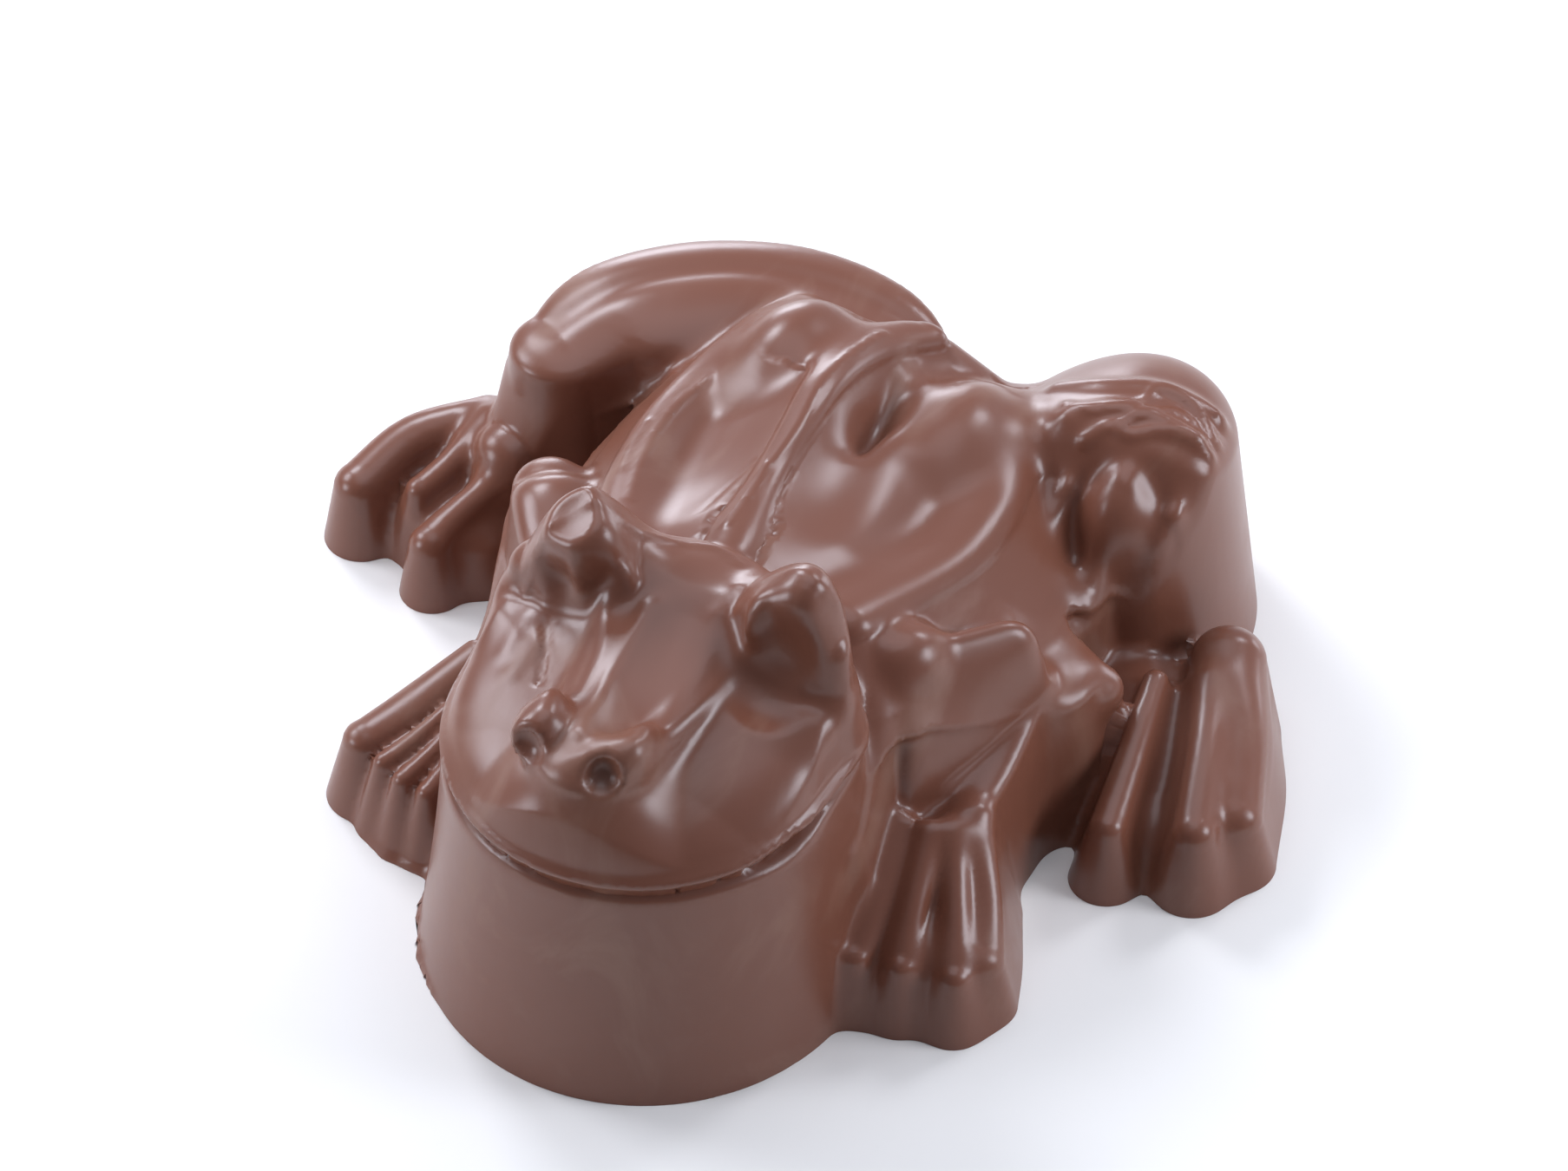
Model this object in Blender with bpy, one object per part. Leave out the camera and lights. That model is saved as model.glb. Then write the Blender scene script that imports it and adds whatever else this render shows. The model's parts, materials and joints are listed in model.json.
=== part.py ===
# A moulded milk chocolate frog: one solid piece with a flat underside.
# The frog faces -Y, its left side is +X and it stands on z = 0.
# Places below are in millimetres; the mesh is brought to metres at the end.

import math

import bmesh
import bpy
import numpy as np

NODE_NAME = "chocolate_frog"
MM = 0.001

# Overall reach of the frog, from its middle line
REACH_LEFT = 28.5
REACH_RIGHT = 29.8
REACH_FRONT = 25.2
REACH_REAR = 27.5
HEIGHT = 25.6

# Every wall leans by this much, so that the frog leaves its mould
MOULD_DRAFT = 9.0

# Fineness of the surface
COLUMN_STEP = 0.6
SKIN_STEP = 0.5
SKIRT_BELOW = 2.0
TRIANGLES = 11000

# Height of the mouth line, and how far the nostrils lie from the middle
LIP = 14.3
NOSTRILS = (-2.4, 1.9)

# Past this distance one form has no effect on another
FAR = 8.0


def smooth_min(a, b, fillet):
    """Joins two forms with a rounded inner corner of about the fillet's size."""
    overlap = np.maximum(fillet - np.abs(a - b), 0.0) / fillet
    return np.minimum(a, b) - overlap * overlap * fillet / 4.0


def smooth_cut(form, hollow, fillet):
    """Takes a hollow out of a form and rounds its rim."""
    return -smooth_min(-form, hollow, fillet)


def dome(p, centre, radii, turn=0.0, draft=MOULD_DRAFT):
    """An upper half ellipsoid on a skirt that widens downwards."""
    cosine, sine = math.cos(math.radians(turn)), math.sin(math.radians(turn))
    dx, dy, dz = p[:, 0] - centre[0], p[:, 1] - centre[1], p[:, 2] - centre[2]
    along, across = dx * cosine + dy * sine, dy * cosine - dx * sine
    skirt = np.maximum(-dz, 0.0) * math.tan(math.radians(draft))
    wide, deep = radii[0] + skirt, radii[1] + skirt
    rise = np.maximum(dz, 0.0) / radii[2]
    reach = np.sqrt((along / wide) ** 2 + (across / deep) ** 2 + rise**2) + 1e-9
    slope = np.sqrt((along / wide**2) ** 2 + (across / deep**2) ** 2 + (rise / radii[2]) ** 2) + 1e-9
    return np.maximum(reach * (reach - 1.0) / slope, (reach - 1.0) * min(radii))


def ball(p, centre, radii, turn=0.0, lean=0.0):
    """A whole ellipsoid: turned about the vertical, then leaning up along its own length."""
    a, b = math.radians(turn), math.radians(lean)
    length = np.array([math.cos(a) * math.cos(b), math.sin(a) * math.cos(b), math.sin(b)])
    width = np.array([-math.sin(a), math.cos(a), 0.0])
    up = np.cross(length, width)
    q = p - np.array(centre)
    parts = [q @ length / radii[0], q @ width / radii[1], q @ up / radii[2]]
    reach = np.sqrt(sum(part**2 for part in parts)) + 1e-9
    slope = np.sqrt(sum((part / radius) ** 2 for part, radius in zip(parts, radii))) + 1e-9
    return reach * (reach - 1.0) / slope


def smooth_line(points, steps=5):
    """More points on a smooth curve through the given ones."""
    knots = np.array(points, float)
    ends = np.vstack([2 * knots[0] - knots[1], knots, 2 * knots[-1] - knots[-2]])
    line = []
    for i in range(1, len(ends) - 2):
        before, start, end, after = ends[i - 1 : i + 3]
        for t in np.arange(steps) / steps:
            bend = 2 * before - 5 * start + 4 * end - after
            twist = 3 * start - before - 3 * end + after
            line.append(start + 0.5 * t * (end - before + t * (bend + t * twist)))
    return np.array(line + [knots[-1]])


def nearest_on_line(p, line):
    """For each point, its plan distance from a line and the line's other values there."""
    best = np.full(len(p), np.inf)
    values = np.zeros((len(p), line.shape[1] - 2))
    for start, end in zip(line[:-1], line[1:]):
        run = end[:2] - start[:2]
        t = ((p[:, 0] - start[0]) * run[0] + (p[:, 1] - start[1]) * run[1]) / (run @ run + 1e-12)
        t = np.clip(t, 0.0, 1.0)
        away = np.hypot(p[:, 0] - start[0] - t * run[0], p[:, 1] - start[1] - t * run[1])
        closer = away < best
        best[closer] = away[closer]
        values[closer] = start[2:] + t[closer, None] * (end[2:] - start[2:])
    return best, values


def close_to(p, line, reach):
    """Which points lie within reach of the plan box round a line."""
    low, high = line[:, :2].min(axis=0) - reach, line[:, :2].max(axis=0) + reach
    return ((p[:, :2] > low) & (p[:, :2] < high)).all(axis=1)


def ridge(p, points, rounding=1.0, slope=MOULD_DRAFT, drop=None):
    """A crest along a curve through (x, y, top, half width): round on top, sloping at the sides.

    With a drop it ends that far below its middle, and without one it runs down through the base.
    """
    line = smooth_line(points)
    lean = math.tan(math.radians(slope))
    spread = line[:, 3].max() + lean * (line[:, 2].max() if drop is None else drop)
    form = np.full(len(p), FAR)
    near = close_to(p, line, FAR + spread)
    q = p[near]
    away, values = nearest_on_line(q, line)
    top, width = values[:, 0], values[:, 1]
    centre = top - width * rounding
    rise = np.maximum(q[:, 2] - centre, 0.0) / rounding
    skirt = np.maximum(centre - q[:, 2], 0.0) * lean
    side = np.where(q[:, 2] > centre, 1.0, math.cos(math.radians(slope)))
    crest = (np.hypot(away, rise) - width - skirt) * side
    if drop is not None:
        crest = np.maximum(crest, centre - drop - q[:, 2])
    form[near] = np.minimum(crest, FAR)
    return form


def line_mark(p, points, width):
    """How near each point is to a line on the surface: 1 on it, 0 away from it."""
    line = smooth_line(points)
    mark = np.zeros(len(p))
    near = close_to(p, line, 4 * width)
    away, values = nearest_on_line(p[near], line)
    off = np.hypot(away, 0.5 * (p[near, 2] - values[:, 0]))
    mark[near] = np.exp(-((off / width) ** 2))
    return mark


def union(parts, fillet):
    form = parts[0]
    for part in parts[1:]:
        form = smooth_min(form, part, fillet)
    return form


def within(forms, fillet):
    """What lies inside every one of the forms, with their shared edges rounded."""
    form = forms[0]
    for other in forms[1:]:
        form = -smooth_min(-form, -other, fillet)
    return form


def torso(p):
    body = dome(p, (0.2, 7.6, 7.0), (11.4, 13.2, 8.6))
    neck = dome(p, (0.2, -2.0, 9.5), (9.3, 7.0, 8.6))
    form = smooth_min(body, neck, 5.0)
    spine = ridge(p, [(0.2, -2.5, 19.0, 0.7), (-0.5, 3.0, 18.5, 0.8), (-0.9, 8.5, 18.3, 1.0),
                      (-1.0, 12.5, 17.9, 1.2), (-0.4, 17.5, 16.2, 1.3), (0.8, 20.2, 15.0, 1.3)], 0.7, 55.0, 3.5)
    near_edge = ridge(p, [(6.9, -2.0, 17.3, 1.3), (8.2, 2.8, 15.8, 1.4), (9.0, 7.0, 14.8, 1.5),
                          (8.9, 11.5, 14.4, 1.5), (7.8, 15.0, 14.2, 1.6), (6.4, 18.0, 13.4, 1.4)], 0.8, 42.0, 4.0)
    far_edge = ridge(p, [(-6.4, -2.0, 17.6, 1.3), (-7.8, 3.0, 16.4, 1.4), (-8.4, 8.0, 15.6, 1.4),
                         (-7.9, 13.0, 15.0, 1.5), (-6.6, 17.3, 14.8, 1.6), (-6.0, 19.8, 14.2, 1.4)], 0.8, 38.0, 4.0)
    near_hump = ball(p, (5.4, 14.4, 12.4), (3.0, 4.4, 3.6))
    far_hump = ball(p, (-4.4, 15.0, 13.0), (3.4, 4.8, 4.6), -10.0)
    form = union([form, spine, near_edge, far_edge, near_hump, far_hump], 2.2)
    near_dish = ball(p, (3.8, 7.2, 20.8), (3.2, 7.2, 4.2), 4.0)
    near_pit = ball(p, (1.7, 12.4, 17.4), (1.1, 3.8, 3.2), 6.0)
    far_dish = ball(p, (-4.6, 5.0, 20.1), (2.8, 6.4, 3.0), -4.0)
    for hollow in (near_dish, near_pit, far_dish):
        form = smooth_cut(form, hollow, 1.4)
    rump = 0.985 * (p[:, 1] - 21.6) + 0.17 * (p[:, 2] - 12.5)
    return within([form, rump], 1.6)


def head_sides(p):
    """The upright outline of the head: a wide oval muzzle and a squarer back."""
    muzzle = dome(p, (0.3, -12.2, 26.0), (7.5, 7.5, 2.0), draft=11.6)
    nape = dome(p, (0.2, -8.4, 26.0), (9.0, 3.9, 2.0), draft=5.0)
    return smooth_min(muzzle, nape, 2.0)


def cheek_plane(p):
    """The two flat cheeks, which fall away from the snout and towards the lip."""
    outwards = 0.13 * np.abs(p[:, 0] - 0.3)
    forwards = 0.10 * np.maximum(-10.5 - p[:, 1], 0.0)
    return 0.98 * (p[:, 2] - 19.5 + outwards + forwards)


def mouth_line(p, sides):
    """How far the skin sinks at the mouth: a fine groove, widest at the near corner, under a raised lip."""
    at_corner = np.exp(-(((p[:, 0] - 9.2) ** 2 + (p[:, 1] + 15.2) ** 2) / 5.0))
    width = 0.30 + 0.22 * at_corner
    groove = (0.35 + 0.45 * at_corner) * np.exp(-(((p[:, 2] - LIP + 0.25) / width) ** 2))
    lip = 0.14 * np.exp(-(((p[:, 2] - LIP - 0.40) / 0.35) ** 2))
    return (groove - lip) * np.exp(-((sides / 1.5) ** 2))


def head(p):
    jaw = dome(p, (0.3, -11.8, 14.4), (9.5, 9.8, 1.5))
    snout = ridge(p, [(0.4, -18.4, 20.2, 2.8), (0.4, -14.5, 19.9, 3.1), (0.4, -10.5, 20.3, 4.0),
                      (0.4, -7.0, 20.9, 5.4)], 0.4, 35.0, 6.0)
    near_eye = ridge(p, [(3.4, -6.6, 21.2, 1.3), (5.0, -7.0, 23.5, 1.5), (6.6, -7.2, 24.8, 1.7),
                         (8.0, -7.2, 24.5, 1.6), (9.2, -7.4, 21.8, 1.5)], 0.9, 8.0, 8.0)
    far_eye = ridge(p, [(-2.6, -6.4, 21.2, 1.3), (-3.8, -6.9, 23.4, 1.6), (-5.3, -7.2, 24.8, 1.8),
                        (-6.8, -7.2, 23.6, 1.7), (-8.4, -7.4, 20.4, 1.5)], 0.9, 8.0, 8.0)
    sides = head_sides(p)
    rounding = np.interp(p[:, 1], [-17.0, -12.0, -6.0], [2.8, 1.8, 0.8])
    cheeks = -smooth_min(-cheek_plane(p), -sides, rounding)
    near_brow = ball(p, (6.6, -6.0, 19.4), (3.2, 2.8, 3.2))
    far_brow = ball(p, (-5.3, -6.0, 19.4), (2.8, 2.8, 3.2))
    top = union([snout, near_eye, far_eye, near_brow, far_brow], 2.0)
    for x in NOSTRILS:
        top = smooth_min(top, ball(p, (x, -18.3, 19.7), (1.4, 2.2, 1.4)), 0.8)
    top = -smooth_min(-top, -sides, 0.9)
    top = smooth_min(top, cheeks, 0.7)
    near_socket = ball(p, (6.9, -11.3, 21.4), (3.1, 2.5, 3.3), 8.0)
    far_socket = ball(p, (-5.6, -11.0, 21.8), (2.3, 2.2, 3.1), -8.0)
    for hollow in (near_socket, far_socket):
        top = smooth_cut(top, hollow, 0.4)
    upper = -smooth_min(-top, p[:, 2] - LIP + 0.2, 0.6)
    throat = within([sides + 0.1 + 0.10 * (LIP - p[:, 2]), p[:, 2] - LIP - 0.5], 0.5)
    form = smooth_min(upper, smooth_min(jaw, throat, 1.5), 0.25)
    for x in NOSTRILS:
        form = smooth_cut(form, ball(p, (x, -19.9, 20.1), (1.0, 1.0, 1.0)), 0.3)
    return form + mouth_line(p, sides)


def plane(p, through, facing):
    """The flat side of everything behind a plane that passes through a point and faces a direction."""
    normal = np.array(facing) / np.linalg.norm(facing)
    return (p - np.array(through)) @ normal


def near_arm(p):
    front = plane(p, (12.7, -3.5, 10.0), (0.754, -0.471, 0.453))
    inner = plane(p, (10.4, -4.2, 11.5), (-0.5, -0.85, 0.17))
    top = plane(p, (10.1, -1.6, 16.3), (0.12, 0.03, 1.0))
    rear = plane(p, (15.0, 3.6, 13.5), (0.5, 0.86, 0.12))
    behind = plane(p, (12.0, 2.1, 15.0), (-0.77, 0.64, 0.12))
    wall = plane(p, (11.9, -5.3, 9.5), (0.913, -0.406, 0.10))
    block = within([within([front, inner, rear, behind], 1.2), top], 1.8)
    block = within([block, wall], 0.8)
    below = ridge(p, [(10.6, -3.4, 8.8, 1.5), (12.0, -2.4, 8.8, 1.5), (13.3, 1.8, 9.4, 1.5)], 0.6, 5.0)
    throat = ridge(p, [(8.0, -1.5, 15.6, 1.6), (9.0, -5.5, 13.4, 1.4), (9.8, -9.5, 9.8, 1.2)], 0.8, 12.0)
    fore = ridge(p, [(14.5, 3.8, 10.6, 1.0), (14.6, -0.6, 8.7, 1.0), (14.3, -4.8, 8.0, 1.1)], 0.8, 6.0)
    palm = ridge(p, [(12.9, -4.6, 7.4, 2.2), (14.6, -8.6, 4.8, 3.0)], 0.6, 9.0)
    toes = [ridge(p, [(11.8, -6.2, 8.2, 0.6), (12.0, -9.0, 6.5, 0.7), (12.0, -12.1, 4.4, 0.8)], 1.0, 15.0),
            ridge(p, [(13.3, -6.2, 8.3, 0.6), (13.8, -9.2, 6.3, 0.7), (14.3, -11.7, 4.4, 0.8)], 1.0, 15.0),
            ridge(p, [(14.4, -5.6, 8.1, 0.6), (15.8, -8.4, 6.1, 0.7), (17.0, -11.1, 4.3, 0.9)], 1.0, 15.0),
            ridge(p, [(15.0, -4.2, 8.2, 0.8), (16.7, -6.8, 5.9, 0.9), (17.8, -9.3, 4.3, 1.1)], 1.0, 13.0)]
    arm = union([below, throat, fore, palm] + toes, 0.7)
    return smooth_min(arm, block, 0.4)


def far_arm(p):
    block = ridge(p, [(-9.8, -1.6, 15.2, 2.0), (-11.4, 1.0, 15.6, 2.2), (-12.4, 2.6, 14.4, 2.0)], 0.7, 6.0)
    fore = ridge(p, [(-12.4, 2.2, 11.5, 2.0), (-12.0, -3.0, 8.4, 1.8), (-12.6, -7.0, 5.4, 1.8),
                     (-13.4, -9.0, 3.6, 2.0)], 0.7, 8.0)
    toes = [ridge(p, [(-13.0, -5.0, 8.2, 1.0), (-15.3, -7.9, 6.2, 1.3), (-17.0, -9.9, 5.0, 1.2)], 0.8, 14.0),
            ridge(p, [(-12.2, -7.2, 7.8, 0.5), (-13.9, -9.7, 6.1, 0.5), (-15.2, -11.2, 5.0, 0.6)], 1.0, 15.0),
            ridge(p, [(-11.7, -8.0, 7.3, 0.5), (-12.9, -10.3, 5.8, 0.5), (-13.8, -11.8, 4.9, 0.6)], 1.0, 15.0),
            ridge(p, [(-11.0, -8.8, 6.8, 0.5), (-12.3, -12.0, 4.8, 0.6)], 1.0, 15.0)]
    return smooth_min(union([block, fore], 1.2), union(toes, 0.4), 0.7)


def near_leg(p):
    column = dome(p, (11.9, 18.6, 26.0), (5.1, 5.8, 2.0), draft=7.0)
    brow_slope = plane(p, (15.0, 16.6, 16.2), (0.0, -0.78, 0.62))
    front = plane(p, (15.0, 11.0, 8.0), (0.0, -0.99, 0.12))
    crown = 0.30 * (p[:, 1] - 16.4) + 0.05 * (p[:, 0] - 14.0) ** 2
    top = 0.95 * (p[:, 2] - 16.6 + crown)
    thigh = within([within([column, front, brow_slope], 2.4), top], 1.6)
    web = dome(p, (14.6, 5.6, 8.4), (2.6, 2.8, 1.2))
    groin = ridge(p, [(10.6, 3.0, 12.8, 2.0), (10.9, 6.0, 12.0, 1.8), (12.2, 8.6, 9.6, 2.0),
                      (13.0, 10.6, 8.6, 1.8)], 0.7, 9.0)
    knob = ball(p, (16.9, 7.0, 7.2), (1.2, 1.2, 1.2))
    foot = ridge(p, [(17.6, 11.0, 5.0, 2.4), (19.6, 7.2, 4.4, 2.8), (21.4, 4.9, 3.2, 2.4)], 0.7, 9.0)
    outer_foot = ridge(p, [(21.4, 13.4, 7.0, 2.0), (22.8, 9.4, 5.7, 2.3), (23.8, 6.2, 4.6, 2.0)], 0.9, 10.0)
    toes = [ridge(p, [(18.8, 9.8, 6.6, 0.7), (19.4, 6.0, 6.0, 0.8), (20.0, 1.2, 4.8, 1.0)], 1.0, 14.0),
            ridge(p, [(21.4, 11.0, 6.6, 0.8), (22.8, 7.2, 6.2, 1.0), (24.2, 2.6, 5.2, 1.2)], 1.0, 14.0),
            ridge(p, [(21.4, 13.0, 6.4, 1.0), (23.8, 9.8, 5.9, 1.1), (25.6, 5.0, 4.7, 1.3)], 1.0, 14.0)]
    return union([thigh, web, groin, knob, foot, outer_foot] + toes, 1.2)


def far_leg(p):
    thigh = ridge(p, [(-17.2, 13.2, 12.8, 2.7), (-15.3, 16.4, 13.8, 3.8), (-11.6, 19.2, 14.0, 4.4),
                      (-7.7, 21.6, 13.7, 3.6), (-3.2, 22.0, 13.2, 3.0), (0.0, 20.6, 12.2, 2.6)], 0.4, 7.0)
    shin = ridge(p, [(-18.0, 11.6, 11.2, 1.8), (-18.6, 9.8, 8.2, 1.8)], 0.8, 8.0)
    foot = ridge(p, [(-19.8, 11.6, 5.2, 2.6), (-21.6, 9.6, 4.4, 3.0), (-19.0, 7.4, 4.4, 2.2)], 0.7, 10.0)
    toes = [ridge(p, [(-21.2, 12.2, 7.0, 1.2), (-24.4, 9.8, 6.2, 1.3), (-26.0, 6.5, 5.0, 1.4)], 0.9, 10.0),
            ridge(p, [(-20.6, 11.2, 7.4, 0.8), (-21.4, 8.8, 6.4, 0.8), (-22.6, 7.0, 5.2, 0.8)], 1.0, 12.0),
            ridge(p, [(-18.2, 8.8, 7.0, 0.8), (-20.0, 5.8, 5.4, 0.9), (-20.7, 4.5, 4.6, 1.2)], 1.0, 10.0)]
    return union([thigh, shin, foot] + toes, 1.0)


def relief(p):
    """Height of the low folds and furrows that follow a line over the skin."""
    folds = [
        ([(2.4, -8.4, 21.8), (3.1, -11.0, 20.9), (2.9, -13.5, 20.2), (2.4, -16.5, 20.0)], 0.6, 0.40),
        ([(4.9, -8.6, 22.4), (4.5, -10.4, 21.3), (4.1, -12.4, 20.4), (3.4, -15.4, 19.7),
          (2.8, -18.0, 19.8)], 0.7, 0.65),
        ([(-2.4, -8.8, 21.4), (-1.4, -12.5, 20.5), (-0.6, -16.0, 20.2), (0.2, -19.4, 20.2)], 0.8, 0.45),
        ([(-4.6, -9.6, 21.6), (-3.8, -12.4, 20.5), (-2.8, -15.4, 20.0), (-2.0, -18.0, 20.0)], 0.6, 0.50),
        ([(0.8, -9.0, 21.0), (1.2, -13.0, 20.2), (1.6, -17.0, 20.2)], 0.9, -0.40),
        ([(12.9, 14.4, 13.4), (12.8, 12.2, 10.6), (12.8, 11.0, 7.8)], 0.8, -0.55),
        ([(14.5, 14.6, 13.6), (14.4, 12.4, 11.0), (14.4, 11.0, 8.6)], 1.1, 0.65),
        ([(17.3, 14.6, 13.6), (17.2, 12.6, 11.2)], 0.9, 0.40),
        ([(11.7, 14.0, 13.0), (11.6, 12.0, 10.4), (11.6, 11.0, 8.4)], 0.7, 0.40),
        ([(16.1, 14.8, 14.0), (16.0, 12.6, 11.2), (15.9, 11.2, 8.8)], 0.8, -0.45),
        ([(10.4, 16.9, 14.9), (12.4, 18.0, 15.6), (14.4, 18.2, 15.9), (17.2, 18.3, 15.8)], 0.6, 0.40),
        ([(8.6, 19.8, 13.6), (11.0, 20.0, 15.0), (14.0, 21.0, 15.3), (17.2, 21.0, 15.0)], 0.6, 0.40),
        ([(-17.8, 13.9, 14.0), (-16.0, 16.5, 14.3), (-14.0, 18.6, 14.3), (-10.5, 20.9, 14.2), (-7.0, 22.0, 14.0),
          (-3.6, 22.3, 13.4), (0.5, 22.0, 12.4)], 0.8, -0.70),
    ]
    height = np.zeros(len(p))
    for points, width, rise in folds:
        height += rise * line_mark(p, points, width)
    return height


def frog(p):
    """Distance of each point from the frog's skin, below zero inside."""
    form = union([torso(p), near_arm(p), far_arm(p), near_leg(p), far_leg(p)], 1.2)
    return smooth_min(form, head(p), 0.8) - relief(p)


def skin_slope(p, gap, step=0.03):
    slopes = []
    for axis in range(3):
        offset = np.zeros(3)
        offset[axis] = step
        slopes.append((frog(p + offset) - gap) / step)
    return np.stack(slopes, axis=1)


def press_to_skin(mesh, rounds=3):
    """Moves each vertex on to the frog's skin, apart from those under the cut."""
    points = np.empty(len(mesh.vertices) * 3, np.float64)
    mesh.vertices.foreach_get("co", points)
    points = points.reshape(-1, 3)
    above = points[:, 2] > -0.6 * SKIRT_BELOW
    moved = points[above]
    for _ in range(rounds):
        gap = frog(moved)
        slope = skin_slope(moved, gap)
        step = -gap[:, None] * slope / np.maximum((slope**2).sum(axis=1), 0.25)[:, None]
        length = np.linalg.norm(step, axis=1, keepdims=True)
        moved += step * np.minimum(1.0, 1.0 / np.maximum(length, 1e-9))
    points[above] = moved
    mesh.vertices.foreach_set("co", points.ravel())
    mesh.update()


def column_tops(x, y):
    """The height of the frog over each spot of the plan, or just under the base where there is none."""
    floor = -SKIRT_BELOW
    heights = np.arange(floor, HEIGHT + 2.0, 1.0)
    tops = np.full(len(x), floor)
    for z in heights:
        inside = frog(np.stack([x, y, np.full(len(x), z)], axis=1)) < 0
        tops[inside] = z
    low, high = tops.copy(), tops + 1.0
    for _ in range(5):
        middle = (low + high) / 2
        inside = frog(np.stack([x, y, middle], axis=1)) < 0
        low, high = np.where(inside, middle, low), np.where(inside, high, middle)
    return np.where(tops > floor, low, floor)


def raised_sheet():
    """A grid over the plan, lifted to the frog's height and closed below."""
    wide = REACH_LEFT + REACH_RIGHT + 4.0
    long = REACH_FRONT + REACH_REAR + 4.0
    sheet = bmesh.new()
    bmesh.ops.create_grid(sheet, x_segments=int(wide / COLUMN_STEP), y_segments=int(long / COLUMN_STEP), size=0.5)
    bmesh.ops.scale(sheet, vec=(wide, long, 1.0), verts=sheet.verts)
    middle = ((REACH_LEFT - REACH_RIGHT) / 2, (REACH_REAR - REACH_FRONT) / 2, 0.0)
    bmesh.ops.translate(sheet, vec=middle, verts=sheet.verts)
    places = np.array([v.co for v in sheet.verts])
    for vertex, top in zip(sheet.verts, column_tops(places[:, 0], places[:, 1])):
        vertex.co.z = top
    empty = [face for face in sheet.faces if all(v.co.z <= -SKIRT_BELOW for v in face.verts)]
    bmesh.ops.delete(sheet, geom=empty, context="FACES")
    below = bmesh.ops.extrude_face_region(sheet, geom=sheet.faces[:])
    for item in below["geom"]:
        if isinstance(item, bmesh.types.BMVert):
            item.co.z = -SKIRT_BELOW - 1.0
    bmesh.ops.recalc_face_normals(sheet, faces=sheet.faces)
    mesh = bpy.data.meshes.new(NODE_NAME)
    sheet.to_mesh(mesh)
    sheet.free()
    return mesh


def apply_modifiers(obj):
    graph = bpy.context.evaluated_depsgraph_get()
    mesh = bpy.data.meshes.new_from_object(obj.evaluated_get(graph))
    obj.modifiers.clear()
    obj.data = mesh


def remesh(obj, step):
    skin = obj.modifiers.new("skin", "REMESH")
    skin.mode = "VOXEL"
    skin.voxel_size = step
    apply_modifiers(obj)


def cut_base(obj):
    """Cuts the skirt off at the table and closes the flat underside."""
    body = bmesh.new()
    body.from_mesh(obj.data)
    everything = body.verts[:] + body.edges[:] + body.faces[:]
    bmesh.ops.bisect_plane(body, geom=everything, plane_co=(0, 0, 0), plane_no=(0, 0, 1),
                           clear_inner=True)
    rim = [e for e in body.edges if e.is_boundary]
    bmesh.ops.contextual_create(body, geom=rim)
    body.to_mesh(obj.data)
    body.free()


def fewer_triangles(obj):
    count = sum(len(face.vertices) - 2 for face in obj.data.polygons)
    thin = obj.modifiers.new("fewer", "DECIMATE")
    thin.ratio = min(1.0, TRIANGLES / count)
    thin.use_collapse_triangulate = True
    apply_modifiers(obj)


def milk_chocolate():
    material = bpy.data.materials.new("milk chocolate")
    material.use_nodes = True
    shader = material.node_tree.nodes["Principled BSDF"]
    shader.inputs["Base Color"].default_value = (0.115, 0.045, 0.026, 1.0)
    shader.inputs["Roughness"].default_value = 0.3
    shader.inputs["Metallic"].default_value = 0.0
    return material


def main():
    for obj in list(bpy.data.objects):
        bpy.data.objects.remove(obj)
    body = bpy.data.objects.new(NODE_NAME, raised_sheet())
    bpy.context.scene.collection.objects.link(body)
    remesh(body, SKIN_STEP)
    press_to_skin(body.data)
    fewer_triangles(body)
    cut_base(body)
    body.data.transform(((MM, 0, 0, 0), (0, MM, 0, 0), (0, 0, MM, 0), (0, 0, 0, 1)))
    body.data.shade_smooth()
    body.data.materials.append(milk_chocolate())


if __name__ == "__main__":
    main()
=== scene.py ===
# A moulded milk chocolate frog on a pale table.
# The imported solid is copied, remeshed fine and pressed on to the full form of the moulding.
# The form is worked out in millimetres. The frog faces -Y, and its left side is +X, the near one.
# A form is a distance for each point: below zero inside, above zero outside.

import json
import math

import bpy
import numpy as np
from mathutils import Matrix, Vector

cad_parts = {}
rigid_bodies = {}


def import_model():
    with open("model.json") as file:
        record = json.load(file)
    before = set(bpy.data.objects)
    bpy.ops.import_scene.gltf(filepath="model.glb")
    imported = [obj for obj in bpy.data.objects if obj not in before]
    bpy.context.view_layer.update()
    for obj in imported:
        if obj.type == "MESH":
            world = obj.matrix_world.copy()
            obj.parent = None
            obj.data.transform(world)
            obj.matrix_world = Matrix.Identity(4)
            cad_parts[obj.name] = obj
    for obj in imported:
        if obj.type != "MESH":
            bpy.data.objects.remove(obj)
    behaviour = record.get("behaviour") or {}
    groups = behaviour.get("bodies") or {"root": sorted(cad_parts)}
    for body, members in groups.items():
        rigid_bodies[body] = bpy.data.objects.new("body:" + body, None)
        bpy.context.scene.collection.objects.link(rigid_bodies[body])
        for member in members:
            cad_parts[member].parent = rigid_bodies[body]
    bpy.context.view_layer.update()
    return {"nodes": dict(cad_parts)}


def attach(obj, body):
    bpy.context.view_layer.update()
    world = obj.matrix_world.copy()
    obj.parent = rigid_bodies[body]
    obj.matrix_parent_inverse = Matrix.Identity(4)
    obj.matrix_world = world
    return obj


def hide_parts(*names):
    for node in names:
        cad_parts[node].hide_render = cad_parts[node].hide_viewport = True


print("loading the frame")
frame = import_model()

mm = 0.001
mouldDraft = 9.0  # degrees that each wall leans, so that the frog leaves its mould
farAway = 8.0  # past this distance one form has no effect on another
lipHeight = 14.3  # where the mouth line runs
nostrils = (-2.4, 1.9)  # how far each lies from the middle
mergeGap = 1e-6  # m, vertices nearer than this are one


# Joins two forms with a rounded inner corner of about the fillet's size
def smoothMin(a, b, fillet):
    overlap = np.maximum(fillet - np.abs(a - b), 0.0) / fillet
    return np.minimum(a, b) - overlap * overlap * fillet / 4.0


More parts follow.
